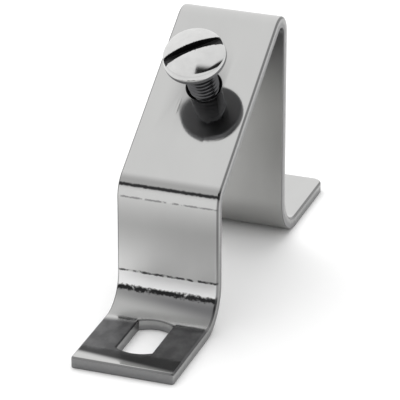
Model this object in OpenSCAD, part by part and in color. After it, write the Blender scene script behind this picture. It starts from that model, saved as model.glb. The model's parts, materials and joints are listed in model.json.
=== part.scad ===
// Slanted support bracket for a mounting rail, bent from one steel strip,
// with the slotted pan head screw that clamps the rail to its slanted face.
// Millimetres. +Z is up, +Y runs from the front foot to the rear foot, X is
// across the strip, and both feet stand on z = 0.

/* [Strip] */
// Width of the strip that the bracket is bent from
strip_w = 20; // [18:0.5:30]
// Thickness of the strip
strip_t = 2.3; // [1.5:0.1:3]
// Radius of the long edges on the side that the blanking punch rolled over
rolled_edge_r = 0.5; // [0.2:0.05:0.7]
// Radius of the long edges on the other side of the strip
broken_edge_r = 0.2; // [0.1:0.05:0.6]

/* [Front foot] */
// Flat length of the front foot, from its tip to its bend
front_foot_l = 18; // [16:0.5:40]
// Radius of the corners at the tip of the front foot
front_corner_r = 0.6; // [0.3:0.1:3]
// Inside radius of the bend between the front foot and the front leg
front_bend_r = 6; // [3:0.5:8]

/* [Fixing slot] */
// Width of the slot in the front foot, a clearance for an M6 bolt
fixing_slot_w = 7; // [4.5:0.5:9]
// Length of the slot, between the tops of its bowed ends
fixing_slot_l = 13.6; // [9:0.2:15]
// Radius of the slot's bowed ends
fixing_slot_end_r = 6; // [5:0.5:12]
// Distance from the tip of the foot to the near end of the slot
fixing_slot_from_tip = 5.3; // [3:0.1:7]

/* [Front leg] */
// Flat length of the front leg, between its two bends
front_leg_l = 15.3; // [6:0.1:60]
// Inside radius of the shoulder, between the front leg and the slanted face
shoulder_bend_r = 3; // [1:0.5:6]

/* [Slanted face] */
// Slope of the slanted face, in degrees from level
face_slope = 33; // [15:1:50]
// Flat length of the slanted face, between its two bends
face_l = 37; // [30:0.5:80]
// Inside radius of the crest, between the slanted face and the rear leg
crest_bend_r = 2; // [1:0.5:6]

/* [Rear foot] */
// Inside radius of the bend between the rear leg and the rear foot
rear_bend_r = 7; // [3:0.5:10]
// Flat length of the rear foot, from its bend to its end
rear_foot_l = 18; // [6:0.5:40]
// Radius of the corners at the end of the rear foot
rear_corner_r = 2; // [0.5:0.1:4]

/* [Clamp screw] */
// Thread diameter of the clamp screw
screw_d = 6; // [4:0.5:8]
// Radial clearance between the thread crests and the tapped hole
thread_clearance = 0.05; // [0.02:0.01:0.1]
// Width of the chamfer round the mouth of the tapped hole
hole_chamfer = 0.45; // [0.2:0.05:1]
// Distance up the flat of the slanted face to the middle of the tapped hole
hole_up_face = 21.3; // [15:0.1:22]
// Length of the screw under its head
screw_l = 12; // [12:1:25]
// Gap that the screw stands open, between its head and the slanted face
screw_open = 8.6; // [4:0.1:9]
// Height of the chamfer at the end of the shank
shank_chamfer = 0.6; // [0.2:0.1:1]

/* [Screw head] */
// Diameter of the pan head
head_d = 12; // [10:0.5:14]
// Height of the pan head
head_h = 3.6; // [3:0.1:4.5]
// Height above the seat at which the head is widest
head_waist_h = 1.1; // [0.8:0.1:1.2]
// Radius that rounds the rim of the head into its crown
head_rim_r = 1.5; // [1:0.1:1.6]
// Radius of the edge round the seat of the head
head_seat_r = 0.4; // [0.1:0.05:0.6]
// Width of the driver slot
driver_slot_w = 1.6; // [1:0.1:2]
// Depth of the driver slot under the top of the head
driver_slot_depth = 1.8; // [1:0.1:2]
// Turn of the driver slot from square across the strip, in degrees
driver_slot_turn = 35; // [0:5:175]

/* [Hidden] */
$fn = 96;

// How far a cut runs past the material that it goes through
cut_past = 1;

// The nearest slope, within about 0.01 degrees, whose sine and cosine are both whole
// in millionths, so that flats and bends meet face to face when they are turned
MILLION = 1000000;
function off_whole(millionths) =
    let (other = sqrt(MILLION * MILLION - millionths * millionths))
    abs(other - round(other));
function whole_slope(angle) =
    let (
        near = [for (step = [-80 : 80]) round(cos(angle) * MILLION) + step],
        off = [for (millionths = near) off_whole(millionths)]
    )
    acos(near[search(min(off), off)[0]] / MILLION);
slope = whole_slope(face_slope);

// The bending plan, one row for each flat: its length, the bend that follows it
// in degrees, positive when it folds the punched side in, and its inside radius.
front_bends = [
    [front_foot_l, 90, front_bend_r],
    [front_leg_l, slope - 90, shoulder_bend_r],
    [face_l, -90 - slope, crest_bend_r]
];
// The rear leg is as long as it takes to bring the rear foot down to z = 0
rear_leg_l = flat_start(front_bends, 3)[1] - strip_t - rear_bend_r;
bends = concat(front_bends, [[rear_leg_l, 90, rear_bend_r], [rear_foot_l, 0, 0]]);

// Rows of the bending plan that other features sit on
FACE_ROW = 2;
REAR_FOOT_ROW = 4;

// The origin is under the middle of the whole bracket
bracket_l = flat_start(bends, REAR_FOOT_ROW)[0] + rear_foot_l;

hole_r = screw_d / 2 + thread_clearance;
head_r = head_d / 2;
// Radius of the crown that meets the rim's rounding without an edge
rim_centre_x = head_r - head_rim_r;
crown_rise = head_h - head_waist_h;
crown_r = (pow(rim_centre_x, 2) + pow(crown_rise, 2) - pow(head_rim_r, 2))
    / (2 * (crown_rise - head_rim_r));

// Where the underside of flat n starts: its y and z, and its heading in degrees
function flat_start(plan, n) = n == 0 ? [0, 0, 0] : bend_end(flat_start(plan, n - 1), plan[n - 1]);

// Where the underside lies after a flat and its bend, set out from a start
function bend_end(start, row) =
    let (
        heading = start[2],
        turned = heading + row[1],
        // the underside runs outside a fold towards the punched side, else inside it
        r = row[1] > 0 ? row[2] + strip_t : -row[2]
    )
    [
        start[0] + row[0] * cos(heading) + r * (sin(turned) - sin(heading)),
        start[1] + row[0] * sin(heading) + r * (cos(heading) - cos(turned)),
        turned
    ];

// Puts its children on flat n of the strip: y along the flat, z out of its underside
module on_flat(n) {
    start = flat_start(bends, n);
    translate([0, start[0] - bracket_l / 2, start[1]])
        rotate([start[2], 0, 0])
            children();
}

// One quarter of the strip's section: a half width, with one rounded long edge
module section_quarter(r) {
    square([strip_w / 2 - r, strip_t / 2]);
    square([strip_w / 2, strip_t / 2 - r]);
    translate([strip_w / 2 - r, strip_t / 2 - r]) circle(r);
}

// Section across the strip, its underside on y = 0 and the punched side on top
module section() {
    translate([0, strip_t / 2])
        for (side = [0, 1])
            mirror([side, 0]) {
                section_quarter(rolled_edge_r);
                mirror([0, 1]) section_quarter(broken_edge_r);
            }
}

// A flat of the strip, from the origin along +Y
module flat(length) {
    translate([0, length, 0])
        rotate([90, 0, 0])
            linear_extrude(length)
                section();
}

// Height of a bend's axis over the underside of the strip where the bend starts
function axis_height(angle, inside_r) = angle > 0 ? strip_t + inside_r : -inside_r;

// Turns its children about the axis of a bend that starts at the origin
module fold(angle, inside_r) {
    axis_z = axis_height(angle, inside_r);
    translate([0, 0, axis_z])
        rotate([angle, 0, 0])
            translate([0, 0, -axis_z])
                children();
}

// A bend of the strip that starts at the origin and turns up, or down if negative.
// It is a ring cut off square where the flat before it ends and the next one starts.
module bend(angle, inside_r) {
    axis_z = axis_height(angle, inside_r);
    reach = strip_t + inside_r + cut_past;
    difference() {
        translate([0, 0, axis_z])
            rotate([0, 90, 0])
                rotate_extrude()
                    translate([inside_r + (angle > 0 ? strip_t : 0), 0])
                        rotate([0, 0, angle > 0 ? 90 : -90])
                            section();
        translate([-strip_w / 2 - cut_past, -2 * reach, axis_z - reach])
            cube([strip_w + 2 * cut_past, 2 * reach, 2 * reach]);
        fold(angle, inside_r)
            translate([-strip_w / 2 - cut_past, 0, axis_z - reach])
                cube([strip_w + 2 * cut_past, 2 * reach, 2 * reach]);
    }
}

// The strip from flat n to its far end, each flat set on the end of the bend before it
module strip_from(n) {
    flat(bends[n][0]);
    translate([0, bends[n][0], 0]) {
        if (n + 1 < len(bends)) {
            bend(bends[n][1], bends[n][2]);
            fold(bends[n][1], bends[n][2])
                strip_from(n + 1);
        }
    }
}

// Takes the sharp corners off the end of a foot, whose end edge is on y = 0
module corner_cuts(r) {
    for (side = [-1, 1])
        translate([side * (strip_w / 2 - r), r, -cut_past])
            linear_extrude(strip_t + 2 * cut_past)
                difference() {
                    translate([side > 0 ? 0 : -r - cut_past, -r - cut_past])
                        square(r + cut_past);
                    circle(r);
                }
}

// The fixing slot: straight sides and shallow bowed ends
module fixing_slot() {
    translate([0, fixing_slot_from_tip + fixing_slot_l / 2, -cut_past])
        linear_extrude(strip_t + front_bend_r)
            intersection() {
                square([fixing_slot_w, fixing_slot_l], center = true);
                for (end = [-1, 1])
                    intersection_for (side = [-1, 1])
                        translate([0, side * (fixing_slot_end_r - fixing_slot_l / 2)])
                            circle(fixing_slot_end_r);
            }
}

// The tapped hole at its thread's full diameter, with its chamfered mouth
module tapped_hole() {
    translate([0, 0, -cut_past])
        cylinder(h = strip_t + 2 * cut_past, r = hole_r);
    translate([0, 0, strip_t - hole_chamfer])
        cylinder(h = hole_chamfer + cut_past, r1 = hole_r, r2 = hole_r + hole_chamfer + cut_past);
}

module bracket() {
    color("silver")
        difference() {
            on_flat(0) strip_from(0);
            on_flat(0) {
                corner_cuts(front_corner_r);
                fixing_slot();
            }
            on_flat(REAR_FOOT_ROW)
                translate([0, rear_foot_l, 0])
                    mirror([0, 1, 0])
                        corner_cuts(rear_corner_r);
            on_flat(FACE_ROW)
                translate([0, hole_up_face, 0])
                    tapped_hole();
        }
}

// Half outline of the pan head, its seat on y = 0
module head_outline() {
    intersection() {
        union() {
            square([head_r - head_seat_r, head_waist_h]);
            translate([0, head_seat_r]) square([head_r, head_waist_h - head_seat_r]);
            translate([head_r - head_seat_r, head_seat_r]) circle(head_seat_r);
            square([rim_centre_x, head_h]);
            translate([rim_centre_x, head_waist_h]) circle(head_rim_r);
        }
        translate([0, head_h - crown_r]) circle(crown_r);
        square([head_r, head_h]);
    }
}

// The clamp screw, stood off the face, with its axis square to the face
module screw() {
    color("gainsboro")
        on_flat(FACE_ROW)
            translate([0, hole_up_face, strip_t + screw_open]) {
                difference() {
                    rotate_extrude() head_outline();
                    rotate([0, 0, driver_slot_turn])
                        translate([-head_d / 2 - cut_past, -driver_slot_w / 2, head_h - driver_slot_depth])
                            cube([head_d + 2 * cut_past, driver_slot_w, driver_slot_depth + cut_past]);
                }
                translate([0, 0, shank_chamfer - screw_l])
                    cylinder(h = screw_l - shank_chamfer, d = screw_d);
                translate([0, 0, -screw_l])
                    cylinder(h = shank_chamfer, d1 = screw_d - 2 * shank_chamfer, d2 = screw_d);
            }
}

bracket();
screw();
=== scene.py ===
# Slanted support bracket for a mounting rail, bent from one steel strip, with
# the slotted pan head screw that clamps the rail. The CAD model is the frame.
import json
import math

import bmesh
import bpy
from mathutils import Matrix, Vector


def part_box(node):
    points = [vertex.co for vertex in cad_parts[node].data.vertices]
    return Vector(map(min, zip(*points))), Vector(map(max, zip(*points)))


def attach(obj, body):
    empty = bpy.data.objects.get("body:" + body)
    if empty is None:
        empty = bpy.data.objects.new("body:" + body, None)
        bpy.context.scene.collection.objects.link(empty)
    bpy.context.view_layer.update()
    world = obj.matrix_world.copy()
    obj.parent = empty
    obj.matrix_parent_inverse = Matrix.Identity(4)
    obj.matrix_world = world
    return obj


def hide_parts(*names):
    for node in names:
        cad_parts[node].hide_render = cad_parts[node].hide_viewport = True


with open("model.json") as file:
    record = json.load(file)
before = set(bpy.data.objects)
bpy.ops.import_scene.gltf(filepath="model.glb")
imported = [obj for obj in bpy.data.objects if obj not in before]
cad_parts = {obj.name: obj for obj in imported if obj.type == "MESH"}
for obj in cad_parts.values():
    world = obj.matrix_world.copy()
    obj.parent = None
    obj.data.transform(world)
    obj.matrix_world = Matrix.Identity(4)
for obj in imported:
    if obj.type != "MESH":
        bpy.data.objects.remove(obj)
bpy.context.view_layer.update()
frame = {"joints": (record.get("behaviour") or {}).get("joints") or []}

# ---------------------------------------------------------------------------
# The bracket: one steel strip, blanked with its slot and its hole, bent four
# times in a press and then bright zinc plated. It stands on its two feet.
# ---------------------------------------------------------------------------
MM = 0.001
strip_low, strip_high = (Vector(corner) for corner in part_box("bracket"))
STRIP_W = strip_high.x - strip_low.x
STRIP_T = 2.3 * MM
ROLLED_EDGE = 0.5 * MM  # edges on the punched side, rolled over by the punch
BROKEN_EDGE = 0.2 * MM  # edges on the other side, broken by tumbling
TIP_CORNER = 0.6 * MM
REAR_CORNER = 2.0 * MM

# the screw's axis is square to the slanted face, so it gives the slope
screw_axis = Vector(frame["joints"][0]["axis"]).normalized()
SLOPE = math.atan2(-screw_axis.y, screw_axis.z)

# Each flat of the strip: its length, the bend after it and its inside radius.
# A positive bend folds the punched side in.
FRONT_FOOT = 18.0 * MM
FRONT_LEG = 15.3 * MM
FACE = 37.0 * MM
FRONT_BEND = 6.0 * MM
SHOULDER_BEND = 3.0 * MM
CREST_BEND = 2.0 * MM
REAR_BEND = 7.0 * MM
front_plan = [
    (FRONT_FOOT, math.radians(90), FRONT_BEND),
    (FRONT_LEG, SLOPE - math.radians(90), SHOULDER_BEND),
    (FACE, -SLOPE - math.radians(90), CREST_BEND),
]


def flat_start(plan):
    """Where the underside stands at the end of a plan: y, z and heading."""
    y, z, heading = strip_low.y, 0.0, 0.0
    for length, turn, inside in plan:
        r = inside + STRIP_T if turn > 0 else -inside
        y += length * math.cos(heading) + r * (math.sin(heading + turn) - math.sin(heading))
        z += length * math.sin(heading) + r * (math.cos(heading) - math.cos(heading + turn))
        heading += turn
    return y, z, heading


rear_leg = flat_start(front_plan)[1] - STRIP_T - REAR_BEND
bending_plan = front_plan + [(rear_leg, math.radians(90), REAR_BEND)]
rear_foot = strip_high.y - flat_start(bending_plan)[0]


def bend_arc(turn, inside):
    """The length of strip that a bend takes up, along the middle of the strip."""
    return abs(turn) * (inside + STRIP_T / 2)


# where each flat starts on the flat blank, measured from the tip
flat_from = [0.0]
for length, turn, inside in bending_plan:
    flat_from.append(flat_from[-1] + length + bend_arc(turn, inside))
blank_l = flat_from[-1] + rear_foot

# the fixing slot in the front foot
SLOT_W = 7.0 * MM
SLOT_L = 13.6 * MM
SLOT_END_R = 6.0 * MM
SLOT_FROM_TIP = 5.3 * MM
SLOT_ROLL = 0.35 * MM
SLOT_BREAK = 0.1 * MM
slot_middle = SLOT_FROM_TIP + SLOT_L / 2

# the tapped hole in the slanted face
HOLE_R = 3.05 * MM
HOLE_CHAMFER = 0.45 * MM
HOLE_BREAK = 0.15 * MM
HOLE_UP_FACE = 21.3 * MM
FACE_ROW = 2
hole_middle = flat_from[FACE_ROW] + HOLE_UP_FACE


def arc(centre, radius, start, end, steps):
    """Points along an arc, from one angle to another, in degrees."""
    points = []
    for i in range(steps + 1):
        angle = math.radians(start + (end - start) * i / steps)
        points.append((centre[0] + radius * math.cos(angle), centre[1] + radius * math.sin(angle)))
    return points


def blank_outline(inset):
    """The blank's outline, counter-clockwise, moved in by inset."""
    least_r = 0.05 * MM  # no corner shrinks to a point
    x = STRIP_W / 2 - inset
    points = []
    for side, y, corner, start in (
        (-1, inset, TIP_CORNER, 180),
        (1, inset, TIP_CORNER, 270),
        (1, blank_l - inset, REAR_CORNER, 0),
        (-1, blank_l - inset, REAR_CORNER, 90),
    ):
        r = max(corner - inset, least_r)
        centre = (side * (x - r), y + r if y < blank_l / 2 else y - r)
        points += arc(centre, r, start, start + 90, 8)
    return points


def slot_outline(outset):
    """The slot's outline, moved out by outset: straight sides and bowed ends."""
    x = SLOT_W / 2 + outset
    r = SLOT_END_R + outset
    half = math.degrees(math.asin(x / r))
    rise = SLOT_L / 2 - SLOT_END_R
    top = arc((0, slot_middle + rise), r, 90 - half, 90 + half, 24)
    bottom = arc((0, slot_middle - rise), r, 270 - half, 270 + half, 24)
    return top + bottom


def hole_outline(outset):
    """The tapped hole's outline, moved out by outset."""
    return arc((0, hole_middle), HOLE_R + outset, 0, 360, 72)[:-1]


def rounded(r, steps=4):
    """Inset and height of each step of a rounded edge, from the face to the wall."""
    angles = [math.pi / 2 * i / steps for i in range(steps + 1)]
    return [(r * (1 - math.sin(angle)), r * (1 - math.cos(angle))) for angle in angles]


def edge_steps(low_r, high_r):
    """Inset and height up a wall of the strip, with both its edges rounded."""
    low = rounded(low_r)
    high = [(inset, STRIP_T - drop) for inset, drop in reversed(rounded(high_r))]
    return low + high


def add_wall(bm, outline, steps, outward):
    """Builds a wall over an outline, and gives its lowest and highest edges."""
    rings = [[bm.verts.new((x, y, z)) for x, y in outline(offset)] for offset, z in steps]
    for lower, upper in zip(rings, rings[1:]):
        for i in range(len(lower)):
            j = (i + 1) % len(lower)
            corners = [lower[i], lower[j], upper[j], upper[i]]
            bm.faces.new(corners if outward else corners[::-1])
    edges = []
    for ring in (rings[0], rings[-1]):
        edges.append([bm.edges.get((ring[i], ring[i - 1])) for i in range(len(ring))])
    return edges


blank = bmesh.new()
hole_steps = [
    (HOLE_BREAK, 0.0),
    (0.0, HOLE_BREAK),
    (0.0, STRIP_T - HOLE_CHAMFER),
    (HOLE_CHAMFER, STRIP_T),
]
walls = [
    add_wall(blank, blank_outline, edge_steps(BROKEN_EDGE, ROLLED_EDGE), True),
    add_wall(blank, slot_outline, edge_steps(SLOT_BREAK, SLOT_ROLL), False),
    add_wall(blank, hole_outline, hole_steps, False),
]
for level, facing in ((0, -1), (1, 1)):
    loops = [edge for wall in walls for edge in wall[level]]
    bmesh.ops.triangle_fill(blank, edges=loops, use_beauty=True, normal=(0, 0, facing))

# a bend is smooth where the blank has a row of edges every few degrees
BEND_STEP = math.radians(4)
for start, (length, turn, inside) in zip(flat_from, bending_plan):
    steps = round(abs(turn) / BEND_STEP)
    for i in range(steps + 1):
        y = start + length + bend_arc(turn, inside) * i / steps
        bmesh.ops.bisect_plane(
            blank, geom=blank.verts[:] + blank.edges[:] + blank.faces[:], dist=1e-7,
            plane_co=(0, y, 0), plane_no=(0, 1, 0),
        )
bmesh.ops.recalc_face_normals(blank, faces=blank.faces)
for face in blank.faces:
    face.smooth = True
blank_mesh = bpy.data.meshes.new("bracket_blank")
blank.to_mesh(blank_mesh)
blank.free()


def node(tree, kind, *inputs, out=0, **settings):
    """Adds a node with its settings, and gives one of its outputs.

    Inputs are numbers, colours or sockets to link from, in order or by name.
    """
    new = tree.nodes.new(kind)
    for name, value in settings.items():
        setattr(new, name, value)
    by_name = inputs[0] if inputs and isinstance(inputs[0], dict) else dict(enumerate(inputs))
    for name, value in by_name.items():
        if isinstance(value, bpy.types.NodeSocket):
            tree.links.new(value, new.inputs[name])
        else:
            new.inputs[name].default_value = value
    return new.outputs[out] if new.outputs else None


# One press stroke: the strip beyond the start of a bend is wrapped round the
# bend's axis, and what lies past the bend turns with it.
press = bpy.data.node_groups.new("press_stroke", "GeometryNodeTree")
press.interface.new_socket("Strip", in_out="INPUT", socket_type="NodeSocketGeometry")
for name in ("Bend start", "Bend arc", "Bend turn", "Axis height"):
    press.interface.new_socket(name, in_out="INPUT", socket_type="NodeSocketFloat")
press.interface.new_socket("Strip", in_out="OUTPUT", socket_type="NodeSocketGeometry")
given = node(press, "NodeGroupInput").node.outputs
on_blank = node(press, "GeometryNodeInputNamedAttribute", "blank", data_type="FLOAT_VECTOR")
along = node(press, "ShaderNodeSeparateXYZ", on_blank, out="Y")
place = node(press, "GeometryNodeInputPosition")
xyz = node(press, "ShaderNodeSeparateXYZ", place).node.outputs
past_start = node(press, "ShaderNodeMath", along, given["Bend start"], operation="SUBTRACT")
share = node(
    press, "ShaderNodeMath", past_start, given["Bend arc"], operation="DIVIDE", use_clamp=True
)
turned = node(press, "ShaderNodeMath", share, given["Bend turn"], operation="MULTIPLY")
bend_end = node(press, "ShaderNodeMath", given["Bend start"], given["Bend arc"], operation="ADD")
past_end = node(press, "ShaderNodeMath", along, bend_end, operation="GREATER_THAN")
straight = node(press, "ShaderNodeMath", xyz["Y"], bend_end, operation="SUBTRACT")
straight = node(press, "ShaderNodeMath", straight, past_end, operation="MULTIPLY")
unrolled_y = node(press, "ShaderNodeMath", given["Bend start"], straight, operation="ADD")
unrolled = node(press, "ShaderNodeCombineXYZ", xyz["X"], unrolled_y, xyz["Z"])
axis_place = node(press, "ShaderNodeCombineXYZ", 0.0, given["Bend start"], given["Axis height"])
wrapped = node(
    press, "ShaderNodeVectorRotate", {"Vector": unrolled, "Center": axis_place, "Angle": turned},
    rotation_type="X_AXIS",
)
is_past = node(press, "ShaderNodeMath", past_start, 0.0, operation="GREATER_THAN")
bent = node(press, "GeometryNodeSetPosition", given["Strip"], is_past, wrapped)
node(press, "NodeGroupOutput", bent)


def linear(code):
    """An sRGB hex colour as the linear colour that a shader takes."""
    parts = [int(code[i:i + 2], 16) / 255 for i in (1, 3, 5)]
    return [c / 12.92 if c <= 0.04045 else ((c + 0.055) / 1.055) ** 2.4 for c in parts] + [1.0]


def finish_over(tree, finish, name, share, code, roughness):
    """Lays a named finish, its colour and its roughness, over a share of another.

    A Mix node takes its share at 0, two numbers at 2 and 3, two colours at 6 and 7.
    """
    return (
        node(
            tree, "ShaderNodeMix", {0: share, 6: finish[0], 7: linear(code)}, out=2,
            data_type="RGBA", label=name,
        ),
        node(tree, "ShaderNodeMix", {0: share, 2: finish[1], 3: roughness}, label=name),
    )


def stretch_share(tree, along, across, start, end, lean, soft):
    """Is 1 on a stretch of the strip, whose soft ends may lean across it."""
    share = None
    for edge, slant, levels in ((start, lean[0], (0.0, 1.0)), (end, lean[1], (1.0, 0.0))):
        from_edge = node(tree, "ShaderNodeMath", across, -slant, along, operation="MULTIPLY_ADD")
        inside = node(
            tree, "ShaderNodeMapRange", from_edge, edge - soft / 2, edge + soft / 2, *levels,
            interpolation_type="SMOOTHSTEP",
        )
        if share:
            inside = node(tree, "ShaderNodeMath", share, inside, operation="MULTIPLY")
        share = inside
    return share


def steel_grain(tree, place, per_mm, detail=3.0):
    """Grain from 0 to 1, with so many features a millimetre along each axis."""
    stretched = node(tree, "ShaderNodeVectorMath", place, per_mm, operation="MULTIPLY")
    return node(tree, "ShaderNodeTexNoise", {"Vector": stretched, "Scale": 1.0, "Detail": detail})


# Bright zinc plate on cold rolled steel. It gives the eye a pale grey mirror on
# the slanted face, a rubbed satin on the front leg with a painted sheen low down
# and painted shade higher up, two burnished bands where the press tool bore on
# the strip, partly a painted highlight, and grainy sheared edges. Painted shade
# darkens the end of the front bend, the shoulder, the rolled edges, the mouth of
# the hole and the inside under the crest.
PLATE = "#cdcdcc"
PLATE_ROUGHNESS = 0.055
# Each stretch of the punched side that looks different: where it starts and
# ends in millimetres from the tip, how its ends lean across the strip, how soft
# they are, its colour and its roughness.
STRETCHES = [
    ("dull foot", 1.6, 17.4, (-0.13, 0.10), 2.2, "#4c4c4d", 0.30),
    ("clamp mark", 2.1, 5.0, (-0.10, 0.0), 1.0, "#202021", 0.20),
    ("drawn bend", 18.6, 26.2, (0.08, 0.0), 1.8, "#b8b8b7", 0.34),
    # painted shade: the front bend is painted darker towards the leg
    ("painted shade at end of bend", 22.8, 26.2, (-0.2, 0.0), 5.0, "#747475", 0.34),
    # painted sheen and shade: the rubbed leg's satin roughness is real, its light colour is a
    # painted sheen, and the upper leg is painted darker as painted shade
    ("rubbed leg with painted sheen", 26.2, 46.5, (0.0, 0.0), 0.3, "#e6e6e5", 0.42),
    ("painted shade up the leg", 35.0, 44.5, (0.0, 0.0), 10.0, "#b6b6b5", 0.42),
    # the two bands are real press marks whose light colour is partly a painted highlight
    ("lower band", 26.6, 29.7, (0.0, 0.0), 0.2, "#ffffff", 0.55),
    ("upper band", 45.0, 46.4, (0.0, 0.0), 0.2, "#dededd", 0.52),
    # painted shade: the shoulder bend is painted darker
    ("shoulder", 46.6, 48.2, (0.0, 0.0), 1.2, "#a8a8a7", 0.12),
]
# Each dark line that the tool's edge left: its middle and half width in
# millimetres, how far it wanders, how much of it is broken away, its colour.
TOOL_LINES = [
    ("bend line", 26.0, 0.58, 1.5, 0.36, "#19191a"),
    ("edge of lower band", 29.9, 0.21, 0.45, 0.46, "#464647"),
    ("edge of upper band", 45.0, 0.13, 0.3, 0.42, "#9c9c9c"),
    ("shoulder line", 46.85, 0.24, 0.4, 0.22, "#2a2a2b"),
]
TOOL_LINE_ROUGHNESS = 0.5

bracket_plate = bpy.data.materials.new("bright_zinc_plated_strip")
bracket_plate.use_nodes = True
tree = bracket_plate.node_tree
tree.nodes.clear()
on_blank = node(tree, "ShaderNodeAttribute", attribute_name="blank", out="Vector")
place = node(tree, "ShaderNodeVectorMath", {0: on_blank, "Scale": 1 / MM}, operation="SCALE")
across, along, through = node(tree, "ShaderNodeSeparateXYZ", place).node.outputs
wall = node(tree, "ShaderNodeAttribute", attribute_name="wall", out="Fac")
finish = (linear(PLATE), PLATE_ROUGHNESS)
for name, start, end, lean, soft, code, roughness in STRETCHES:
    share = stretch_share(tree, along, across, start, end, lean, soft)
    finish = finish_over(tree, finish, name, share, code, roughness)
for i, (name, middle, half, wander, broken, code) in enumerate(TOOL_LINES):
    # each line wavers in its own way, from another part of the same grain
    shifted = node(tree, "ShaderNodeVectorMath", place, (31.0 * i, 0.0, 0.0), operation="ADD")
    waver = steel_grain(tree, shifted, (1.6, 1.4, 0.0), 6.0)
    drawn = node(tree, "ShaderNodeMath", waver, wander, along, operation="MULTIPLY_ADD")
    off = node(tree, "ShaderNodeMath", drawn, middle + wander / 2, operation="SUBTRACT")
    off = node(tree, "ShaderNodeMath", off, operation="ABSOLUTE")
    line = node(
        tree, "ShaderNodeMapRange", off, half * 0.5, half * 1.5, 1.0, 0.0,
        interpolation_type="SMOOTHSTEP",
    )
    kept = steel_grain(tree, shifted, (0.7, 0.5, 0.0), 4.0)
    kept = node(
        tree, "ShaderNodeMapRange", kept, broken - 0.08, broken + 0.08,
        interpolation_type="SMOOTHSTEP",
    )
    share = node(tree, "ShaderNodeMath", line, kept, operation="MULTIPLY")
    finish = finish_over(tree, finish, name, share, code, TOOL_LINE_ROUGHNESS)
# the dull foot is mottled where washers and bolt heads have rubbed it
mottle = steel_grain(tree, place, (0.45, 0.3, 0.3), 5.0)
mottle = node(tree, "ShaderNodeMapRange", mottle, 0.42, 0.75, 0.0, 0.35)
on_foot = stretch_share(tree, along, across, 4.5, 17.0, (0.0, 0.0), 2.0)
share = node(tree, "ShaderNodeMath", mottle, on_foot, operation="MULTIPLY")
finish = finish_over(tree, finish, "mottle", share, "#8e8e8f", 0.3)
# the inside of the bends was never rubbed, and near the sharp crest it is painted darker as painted
# shade
inside = node(tree, "ShaderNodeMapRange", through, 0.3, 0.9, 1.0, 0.0)
finish = finish_over(tree, finish, "inner side", inside, "#bdbdbb", 0.30)
crest_shade = stretch_share(tree, along, across, 80.0, 100.0, (0.0, 0.0), 22.0)
crest_shade = node(tree, "ShaderNodeMath", crest_shade, inside, operation="MULTIPLY")
finish = finish_over(tree, finish, "painted shade under crest", crest_shade, "#6c6c6d", 0.30)
# painted shade: the rolled edge itself is painted dark
edge_shade = node(
    tree, "ShaderNodeMapRange", wall, 0.03, 0.13, 0.0, 0.75, interpolation_type="SMOOTHSTEP"
)
finish = finish_over(tree, finish, "painted shade on rolled edge", edge_shade, "#505051", 0.3)
# a blanked edge is burnished under the punched side and torn below
sheared = node(tree, "ShaderNodeMapRange", wall, 0.75, 0.98, interpolation_type="SMOOTHSTEP")
finish = finish_over(tree, finish, "sheared edge", sheared, "#bdbdbc", 0.30)
ragged = steel_grain(tree, place, (1.2, 1.2, 0.4))
ragged = node(tree, "ShaderNodeMath", through, ragged, operation="ADD")
torn = node(tree, "ShaderNodeMapRange", ragged, 1.3, 1.9, 1.0, 0.0, interpolation_type="SMOOTHSTEP")
torn = node(tree, "ShaderNodeMath", torn, sheared, operation="MULTIPLY")
finish = finish_over(tree, finish, "torn edge", torn, "#949495", 0.5)
# the strip was cropped to length with a blunt blade, so its tip is darker
cropped = node(tree, "ShaderNodeMapRange", along, 0.1, 0.3, 1.0, 0.0)
cropped = node(tree, "ShaderNodeMath", cropped, sheared, operation="MULTIPLY")
finish = finish_over(tree, finish, "cropped tip", cropped, "#7b7b7c", 0.5)
# painted shade: the mouth and the bore of the tapped hole are painted dark
mouth_r = (HOLE_R + HOLE_CHAMFER) / MM
hole_place = (0.0, hole_middle / MM, 0.0)
flat_place = node(tree, "ShaderNodeCombineXYZ", across, along)
from_hole = node(
    tree, "ShaderNodeVectorMath", flat_place, hole_place, operation="DISTANCE", out="Value"
)
mouth = node(tree, "ShaderNodeMapRange", from_hole, mouth_r, mouth_r + 0.08, 1.0, 0.0)
finish = finish_over(tree, finish, "painted shade in hole mouth", mouth, "#1c1c1d", 0.5)
# faint clouding of the plate
cloud = steel_grain(tree, place, (0.25, 0.12, 0.2), 4.0)
cloud = node(tree, "ShaderNodeMath", cloud, 0.12, operation="MULTIPLY")
finish = finish_over(tree, finish, "clouding", cloud, "#8d8d8e", 0.2)
# relief: fine rubbing across the faces, deeper on the satin stretch, and torn
# grain on the sheared edges
rubbing = steel_grain(tree, place, (0.7, 9.0, 2.0), 2.0)
tearing = steel_grain(tree, place, (6.0, 6.0, 2.5))
relief = node(tree, "ShaderNodeMix", {0: sheared, 2: rubbing, 3: tearing})
satin = stretch_share(tree, along, across, 18.0, 46.5, (0.0, 0.0), 1.0)
satin = node(tree, "ShaderNodeMath", satin, 0.03, 0.01, operation="MULTIPLY_ADD")
depth = node(tree, "ShaderNodeMix", {0: sheared, 2: satin, 3: 0.5})
bump = node(tree, "ShaderNodeBump", {"Strength": depth, "Distance": 0.1 * MM, "Height": relief})
shader = node(
    tree, "ShaderNodeBsdfPrincipled",
    {"Base Color": finish[0], "Metallic": 1.0, "Roughness": finish[1], "Normal": bump},
)
node(tree, "ShaderNodeOutputMaterial", shader)

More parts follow.
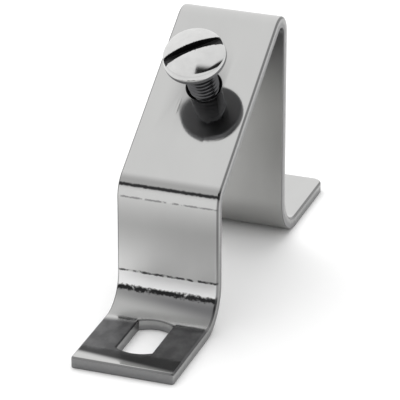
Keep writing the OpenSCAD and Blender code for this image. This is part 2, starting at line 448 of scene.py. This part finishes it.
# The forming tree: it keeps each point's place on the blank, for the finish to
# follow the strip, then makes the four bends from the far end back to the tip.
forming = bpy.data.node_groups.new("form_bracket", "GeometryNodeTree")
forming.interface.new_socket("Blank", in_out="INPUT", socket_type="NodeSocketGeometry")
bends = {}
for i, (start, (length, turn, inside)) in enumerate(zip(flat_from, bending_plan)):
    bends[f"Bend {i + 1} start"] = start + length
    bends[f"Bend {i + 1} arc"] = bend_arc(turn, inside)
    bends[f"Bend {i + 1} turn"] = turn
    bends[f"Bend {i + 1} axis height"] = STRIP_T + inside if turn > 0 else -inside
bends["Tip"] = strip_low.y
bend_socket = {
    name: forming.interface.new_socket(name, in_out="INPUT", socket_type="NodeSocketFloat")
    for name in bends
}
forming.interface.new_socket("Bracket", in_out="OUTPUT", socket_type="NodeSocketGeometry")
given = node(forming, "NodeGroupInput").node.outputs
place = node(forming, "GeometryNodeInputPosition")
strip = node(
    forming, "GeometryNodeStoreNamedAttribute",
    {"Geometry": given["Blank"], "Name": "blank", "Value": place},
    data_type="FLOAT_VECTOR", domain="POINT",
)
# how far the surface turns to a wall of the strip: 0 on its faces, 1 on its edges
upright = node(forming, "ShaderNodeSeparateXYZ", node(forming, "GeometryNodeInputNormal"), out="Z")
upright = node(forming, "ShaderNodeMath", upright, operation="ABSOLUTE")
turned = node(forming, "ShaderNodeMath", 1.0, upright, operation="SUBTRACT")
strip = node(
    forming, "GeometryNodeStoreNamedAttribute",
    {"Geometry": strip, "Name": "wall", "Value": turned},
    data_type="FLOAT", domain="POINT",
)
for i in reversed(range(1, len(bending_plan) + 1)):
    stroke = {
        "Strip": strip,
        "Bend start": given[f"Bend {i} start"],
        "Bend arc": given[f"Bend {i} arc"],
        "Bend turn": given[f"Bend {i} turn"],
        "Axis height": given[f"Bend {i} axis height"],
    }
    strip = node(forming, "GeometryNodeGroup", stroke, node_tree=press)
to_tip = node(forming, "ShaderNodeCombineXYZ", 0.0, given["Tip"], 0.0)
strip = node(forming, "GeometryNodeSetPosition", {"Geometry": strip, "Offset": to_tip})
strip = node(forming, "GeometryNodeRealizeInstances", strip)
strip = node(forming, "GeometryNodeSetMaterial", {"Geometry": strip, "Material": bracket_plate})
node(forming, "NodeGroupOutput", strip)


def run_tree(obj, tree, sizes, sockets):
    """Puts a tree on an object, with its sizes."""
    modifier = obj.modifiers.new(tree.name, "NODES")
    modifier.node_group = tree
    for name, value in sizes.items():
        modifier[sockets[name].identifier] = value


def make_plain(obj):
    """Leaves an object the plain mesh that its modifiers make."""
    evaluated = bpy.context.evaluated_depsgraph_get()
    mesh = bpy.data.meshes.new_from_object(
        obj.evaluated_get(evaluated), preserve_all_data_layers=True, depsgraph=evaluated
    )
    obj.modifiers.clear()
    obj.data = mesh
    mesh.name = obj.name


bracket = bpy.data.objects.new("bent_strip", blank_mesh)
bpy.context.scene.collection.objects.link(bracket)
run_tree(bracket, forming, bends, bend_socket)
bracket.modifiers.new("level_faces", "WEIGHTED_NORMAL").keep_sharp = True
make_plain(bracket)
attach(bracket, "bracket")
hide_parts("bracket")

# ---------------------------------------------------------------------------
# The clamp screw: a cold headed M6 pan head with a struck driver slot and a
# rolled thread, nickel plated. It stands part way out of the tapped hole.
# ---------------------------------------------------------------------------
SCREW_D = 6.0 * MM
THREAD_PITCH = 1.0 * MM
SCREW_L = 12.0 * MM
SCREW_OPEN = 8.6 * MM
HEAD_R = 6.0 * MM
HEAD_H = 3.6 * MM
HEAD_WAIST = 1.1 * MM
HEAD_RIM_R = 1.5 * MM
HEAD_SEAT_R = 0.4 * MM
DRIVER_W = 1.6 * MM
DRIVER_L = 11.3 * MM
DRIVER_OFF = 0.3 * MM  # the punch struck a little off centre
DRIVER_DEPTH = 1.8 * MM
DRIVER_TURN = math.radians(35)
EASED_EDGE = 0.1 * MM
THREAD_DEPTH = 0.6 * THREAD_PITCH
SHANK_IN_HEAD = 0.3 * MM

face_y, face_z, face_heading = flat_start(front_plan[:FACE_ROW])
on_face = Matrix.Translation((0, face_y, face_z)) @ Matrix.Rotation(face_heading, 4, "X")
on_seat = on_face @ Matrix.Translation((0, HOLE_UP_FACE, STRIP_T + SCREW_OPEN))

# The thread: a sheet of rows that follow the helix, rolled round the shank.
thread = bpy.data.node_groups.new("roll_thread", "GeometryNodeTree")
thread_sizes = {
    "Crest radius": SCREW_D / 2,
    "Root radius": SCREW_D / 2 - THREAD_DEPTH,
    "Pitch": THREAD_PITCH,
    "Length": SCREW_L,
    "In head": SHANK_IN_HEAD,
    "Point radius": 2.1 * MM,
    "Point slope": 1.4,
    "Neck": 0.4 * MM,
}
thread_socket = {
    name: thread.interface.new_socket(name, in_out="INPUT", socket_type="NodeSocketFloat")
    for name in thread_sizes
}
thread.interface.new_socket("Shank", in_out="OUTPUT", socket_type="NodeSocketGeometry")
given = node(thread, "NodeGroupInput").node.outputs
ROUND_STEPS = 72
PITCH_STEPS = 12
SPARE_TURNS = 3  # the sheet runs past both ends of the shank
turns = round(SCREW_L / THREAD_PITCH) + SPARE_TURNS
sheet = node(
    thread, "GeometryNodeMeshGrid",
    1.0, float(turns), ROUND_STEPS + 1, turns * PITCH_STEPS + 1,
)
sheet_x, sheet_y, _ = node(
    thread, "ShaderNodeSeparateXYZ", node(thread, "GeometryNodeInputPosition")
).node.outputs
round_share = node(thread, "ShaderNodeMath", sheet_x, 0.5, operation="ADD")
angle = node(thread, "ShaderNodeMath", round_share, 2 * math.pi, operation="MULTIPLY")
row = node(thread, "ShaderNodeMath", sheet_y, turns / 2, operation="ADD")
# the sheet starts a turn below the end of the shank, and its ends are cut square
rise = node(thread, "ShaderNodeMath", row, round_share, operation="ADD")
rise = node(thread, "ShaderNodeMath", rise, 1.0, operation="SUBTRACT")
height = node(thread, "ShaderNodeMath", rise, given["Pitch"], operation="MULTIPLY")
height = node(thread, "ShaderNodeMath", height, given["Length"], operation="SUBTRACT")
lowest = node(thread, "ShaderNodeMath", given["Length"], -1.0, operation="MULTIPLY")
height = node(thread, "ShaderNodeMath", height, lowest, operation="MAXIMUM")
height = node(thread, "ShaderNodeMath", height, given["In head"], operation="MINIMUM")
# across a row: an eighth of the pitch is the crest, a quarter is the root
wave = node(thread, "ShaderNodeMath", row, operation="FRACT")
wave = node(thread, "ShaderNodeMath", wave, 0.5, operation="SUBTRACT")
wave = node(thread, "ShaderNodeMath", wave, operation="ABSOLUTE")
thread_r = node(
    thread, "ShaderNodeMapRange", wave, 1 / 16, 6 / 16, given["Crest radius"], given["Root radius"]
)
# the point's chamfer, and the plain neck under the head
above_point = node(thread, "ShaderNodeMath", height, given["Length"], operation="ADD")
point_r = node(
    thread, "ShaderNodeMath", above_point, given["Point slope"], given["Point radius"],
    operation="MULTIPLY_ADD",
)
below_head = node(thread, "ShaderNodeMath", height, -1.0, operation="MULTIPLY")
below_neck = node(thread, "ShaderNodeMath", below_head, given["Neck"], operation="SUBTRACT")
below_neck = node(thread, "ShaderNodeMath", below_neck, 0.0, operation="MAXIMUM")
neck_r = node(thread, "ShaderNodeMath", given["Root radius"], below_neck, operation="ADD")
end_r = node(thread, "ShaderNodeMath", point_r, neck_r, operation="MINIMUM")
radius = node(thread, "ShaderNodeMath", thread_r, end_r, operation="MINIMUM")
rolled_x = node(thread, "ShaderNodeMath", angle, operation="COSINE")
rolled_x = node(thread, "ShaderNodeMath", rolled_x, radius, operation="MULTIPLY")
rolled_y = node(thread, "ShaderNodeMath", angle, operation="SINE")
rolled_y = node(thread, "ShaderNodeMath", rolled_y, radius, operation="MULTIPLY")
rolled = node(thread, "ShaderNodeCombineXYZ", rolled_x, rolled_y, height)
shank = node(thread, "GeometryNodeSetPosition", {"Geometry": sheet, "Position": rolled})
SEAM = 0.002 * MM  # the rolled sheet closes on itself
shank = node(thread, "GeometryNodeMergeByDistance", {"Geometry": shank, "Distance": SEAM})


def screw_steel(name, code, roughness, relief):
    """Nickel plate on cold headed steel, clouded in patches twice as rough."""
    material = bpy.data.materials.new(name)
    material.use_nodes = True
    tree = material.node_tree
    tree.nodes.clear()
    own = node(tree, "ShaderNodeTexCoord", out="Object")
    place = node(tree, "ShaderNodeVectorMath", {0: own, "Scale": 1 / MM}, operation="SCALE")
    cloud = steel_grain(tree, place, (0.6, 0.6, 0.6), 4.0)
    cloud = node(tree, "ShaderNodeMath", cloud, 0.3, operation="MULTIPLY")
    finish = (linear(code), roughness * 0.8)
    finish = finish_over(tree, finish, "clouding", cloud, "#8d8d8e", roughness * 1.6)
    grain = steel_grain(tree, place, (5.0, 5.0, 5.0), 2.0)
    bump = node(tree, "ShaderNodeBump", {"Strength": relief, "Distance": 0.1 * MM, "Height": grain})
    shader = node(
        tree, "ShaderNodeBsdfPrincipled",
        {"Base Color": finish[0], "Metallic": 1.0, "Roughness": finish[1], "Normal": bump},
    )
    node(tree, "ShaderNodeOutputMaterial", shader)
    return material


# Bright nickel plate makes the head a slightly soft mirror. Painted shade makes
# the driver slot black, the seat and lower side of the head dull and dark, and the
# thread dark, with a gleam on each crest.
head_plate = screw_steel("bright_nickel_plated_head", "#e6e6e5", 0.12, 0.02)
# painted shade: the driver slot is painted nearly black
slot_shade_steel = screw_steel("painted_shade_in_driver_slot", "#2a2a2b", 0.5, 0.1)
# painted shade: the seat and the lower side of the head are painted dark on a dull finish
head_seat_shade_steel = screw_steel("dull_plate_painted_dark_under_head", "#6e6e70", 0.45, 0.05)
# painted shade: the thread is painted dark
thread_shade_steel = screw_steel("rolled_thread_painted_dark", "#4e4e50", 0.12, 0.03)
shank = node(thread, "GeometryNodeRealizeInstances", shank)
shank = node(thread, "GeometryNodeSetMaterial", {"Geometry": shank, "Material": thread_shade_steel})
node(thread, "NodeGroupOutput", shank)

shank = bpy.data.objects.new("shank", bpy.data.meshes.new("shank"))
bpy.context.scene.collection.objects.link(shank)
run_tree(shank, thread, thread_sizes, thread_socket)
make_plain(shank)
ends = bmesh.new()
ends.from_mesh(shank.data)
bmesh.ops.holes_fill(ends, edges=[e for e in ends.edges if e.is_boundary], sides=0)
bmesh.ops.recalc_face_normals(ends, faces=ends.faces)
ends.to_mesh(shank.data)
ends.free()

# the head's outline, from the seat round the rim and over the crown
rim_centre = HEAD_R - HEAD_RIM_R
crown_rise = HEAD_H - HEAD_WAIST
crown_r = (rim_centre**2 + crown_rise**2 - HEAD_RIM_R**2) / (2 * (crown_rise - HEAD_RIM_R))
crown_centre = HEAD_H - crown_r
# the crown meets the rim's rounding where both have the same slope
rim_start = math.degrees(math.atan2(HEAD_WAIST - crown_centre, rim_centre))
head_outline = (
    arc((HEAD_R - HEAD_SEAT_R, HEAD_SEAT_R), HEAD_SEAT_R, 270, 360, 6)
    + arc((rim_centre, HEAD_WAIST), HEAD_RIM_R, 0, rim_start, 14)
    + arc((0, crown_centre), crown_r, rim_start, 90, 16)[1:-1]
)


def ring_outline(radius):
    """A ring of the head."""
    return arc((0, 0), radius, 0, 360, 128)[:-1]


head = bmesh.new()
add_wall(head, ring_outline, head_outline, True)
bmesh.ops.holes_fill(head, edges=[e for e in head.edges if e.is_boundary], sides=0)
bmesh.ops.recalc_face_normals(head, faces=head.faces)
head_mesh = bpy.data.meshes.new("head")
head.to_mesh(head_mesh)
head.free()
screw = bpy.data.objects.new("clamp_screw", head_mesh)
bpy.context.scene.collection.objects.link(screw)


def punch_outline(outset):
    """The outline of the punch that strikes the driver slot, with round ends."""
    r = DRIVER_W / 2 + outset
    x = (DRIVER_L - DRIVER_W) / 2
    points = arc((x, 0), r, -90, 90, 12) + arc((-x, 0), r, 90, 270, 12)
    turned = Matrix.Rotation(DRIVER_TURN, 2)
    return [turned @ Vector((x, y + DRIVER_OFF)) for x, y in points]


PUNCH_PAST = 1.0 * MM
punch_steps = [(0.0, HEAD_H - DRIVER_DEPTH), (0.0, HEAD_H + PUNCH_PAST)]
punch = bmesh.new()
add_wall(punch, punch_outline, punch_steps, True)
bmesh.ops.holes_fill(punch, edges=[e for e in punch.edges if e.is_boundary], sides=0)
bmesh.ops.recalc_face_normals(punch, faces=punch.faces)
punch_mesh = bpy.data.meshes.new("slot_punch")
punch.to_mesh(punch_mesh)
punch.free()
slot_punch = bpy.data.objects.new("slot_punch", punch_mesh)
bpy.context.scene.collection.objects.link(slot_punch)

struck = screw.modifiers.new("driver_slot", "BOOLEAN")
struck.object = slot_punch
struck.solver = "EXACT"
eased = screw.modifiers.new("eased_edges", "BEVEL")
eased.width = EASED_EDGE
eased.segments = 2
eased.limit_method = "ANGLE"
eased.angle_limit = math.radians(40)
eased.use_clamp_overlap = False
joined = screw.modifiers.new("shank", "BOOLEAN")
joined.operation = "UNION"
joined.object = shank
joined.solver = "EXACT"
make_plain(screw)
bpy.data.objects.remove(slot_punch)
bpy.data.objects.remove(shank)

# Where each finish lies: the thread, the seat and side of the head, the slot.
screw_finishes = [head_plate, slot_shade_steel, head_seat_shade_steel, thread_shade_steel]
screw.data.materials.clear()
for finish in screw_finishes:
    screw.data.materials.append(finish)
BELOW_SEAT = -0.01 * MM
# the slot's painted shade also covers its eased edge
SLOT_LIP = 0.9 * EASED_EDGE  # the slot's eased edge is as dark as the slot
across_slot = Matrix.Rotation(-DRIVER_TURN, 3, "Z")
for polygon in screw.data.polygons:
    polygon.use_smooth = True
    middle = polygon.center
    in_width = abs((across_slot @ middle).y - DRIVER_OFF) < DRIVER_W / 2 + SLOT_LIP
    in_length = middle.xy.length < DRIVER_L / 2 + SLOT_LIP
    if middle.z < BELOW_SEAT:
        finish = thread_shade_steel
    elif middle.z < HEAD_WAIST:
        finish = head_seat_shade_steel
    elif in_width and in_length:
        finish = slot_shade_steel
    else:
        finish = head_plate
    polygon.material_index = screw_finishes.index(finish)
screw.modifiers.new("level_faces", "WEIGHTED_NORMAL").keep_sharp = True
make_plain(screw)
screw.data.transform(on_seat)
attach(screw, "screw")
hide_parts("screw")

# ---------------------------------------------------------------------------
# The studio: a white table and a soft white surround, with a black flag beside
# the viewer, which gives the bright plate its contrast.
# ---------------------------------------------------------------------------
HALF = 3.0  # half the table's width
table_corners = [(-HALF, -HALF, 0), (HALF, -HALF, 0), (HALF, HALF, 0), (-HALF, HALF, 0)]
table_mesh = bpy.data.meshes.new("table")
table_mesh.from_pydata(table_corners, [], [(0, 1, 2, 3)])
table = bpy.data.objects.new("table", table_mesh)
bpy.context.scene.collection.objects.link(table)
# White card: matt, and shown to the viewer a little lighter than it is.
card = bpy.data.materials.new("white_card")
card.use_nodes = True
tree = card.node_tree
tree.nodes.clear()
sight = node(tree, "ShaderNodeLightPath", out="Is Camera Ray")
lit = node(tree, "ShaderNodeBsdfDiffuse", (0.8, 0.8, 0.8, 1))
shown = node(tree, "ShaderNodeBsdfDiffuse", (1.0, 1.0, 1.0, 1))
node(tree, "ShaderNodeOutputMaterial", node(tree, "ShaderNodeMixShader", sight, lit, shown))
table_mesh.materials.append(card)

world = bpy.data.worlds.new("studio")
bpy.context.scene.world = world
world.use_nodes = True
tree = world.node_tree
tree.nodes.clear()
towards = node(tree, "ShaderNodeTexCoord", out="Generated")
# The flag hangs over the right of the table. Each edge is where a direction
# leans so far to the way inward, and how soft the edge looks.
FLAG_EDGES = [
    ("left", (1.0, 0.0, 0.0), -0.03, 0.04),
    ("lower", (0.207, 0.468, 0.859), 0.173, 0.06),
    ("upper", (0.086, -0.650, -0.755), -0.27, 0.20),
    ("far end", (0.2, -0.98, 0.0), -0.6, 1.1),
]
flag = 1.0
for name, inward, lean, soft in FLAG_EDGES:
    reach = node(
        tree, "ShaderNodeVectorMath", towards, inward, operation="DOT_PRODUCT", out="Value"
    )
    inside = node(
        tree, "ShaderNodeMapRange", reach, lean - soft / 2, lean + soft / 2,
        interpolation_type="SMOOTHSTEP", label=name,
    )
    flag = node(tree, "ShaderNodeMath", flag, inside, operation="MULTIPLY")
# what the plate mirrors is brightest at the back and the left
BACK_LEFT = (-0.75, 0.65, 0.1)
MIRRORED_LEVELS = (0.88, 1.02)
FLAG_LEVEL = 0.014
reach = node(
    tree, "ShaderNodeVectorMath", towards, BACK_LEFT, operation="DOT_PRODUCT", out="Value"
)
mirrored = node(
    tree, "ShaderNodeMapRange", reach, -0.6, 0.9, *MIRRORED_LEVELS, interpolation_type="SMOOTHSTEP"
)
mirrored = node(tree, "ShaderNodeMix", {0: flag, 2: mirrored, 3: FLAG_LEVEL})
# what lights the table comes more from above
LIGHTING_LEVELS = (0.65, 0.80)
upward = node(tree, "ShaderNodeSeparateXYZ", towards, out="Z")
lighting = node(
    tree, "ShaderNodeMapRange", upward, 0.0, 0.9, *LIGHTING_LEVELS, interpolation_type="SMOOTHSTEP"
)
# what the viewer sees behind the part is plain white
SHOWN_LEVEL = 1.05
rays = node(tree, "ShaderNodeLightPath").node.outputs
level = node(tree, "ShaderNodeMix", {0: rays["Is Camera Ray"], 2: lighting, 3: SHOWN_LEVEL})
level = node(tree, "ShaderNodeMix", {0: rays["Is Glossy Ray"], 2: level, 3: mirrored})
surround = node(tree, "ShaderNodeBackground", (1, 1, 1, 1), level)
node(tree, "ShaderNodeOutputWorld", surround)

# The key light: a large soft box over the back left of the table.
soft_box_data = bpy.data.lights.new("soft_box", "AREA")
soft_box_data.shape = "SQUARE"
soft_box_data.size = 0.8
soft_box_data.energy = 4.2
soft_box = bpy.data.objects.new("soft_box", soft_box_data)
bpy.context.scene.collection.objects.link(soft_box)
soft_box.location = (-0.20, 0.32, 0.75)
soft_box.rotation_euler = (-soft_box.location).to_track_quat("-Z", "Y").to_euler()
soft_box.visible_glossy = False

# ---------------------------------------------------------------------------
# The camera: a long lens, from the front and right, looking down on the part.
# ---------------------------------------------------------------------------
CAMERA_PLACE = Vector((0.17626, -0.49252, 0.26263))
CAMERA_AIM = Vector((-0.30605, 0.85093, -0.42691))
camera_data = bpy.data.cameras.new("camera")
camera_data.sensor_width = 36.0
camera_data.lens = 271.3
camera_data.clip_start = 0.01
camera = bpy.data.objects.new("camera", camera_data)
bpy.context.scene.collection.objects.link(camera)
camera.location = CAMERA_PLACE
camera.rotation_euler = CAMERA_AIM.to_track_quat("-Z", "Y").to_euler()
bpy.context.scene.camera = camera
bpy.context.scene.view_settings.view_transform = "Standard"
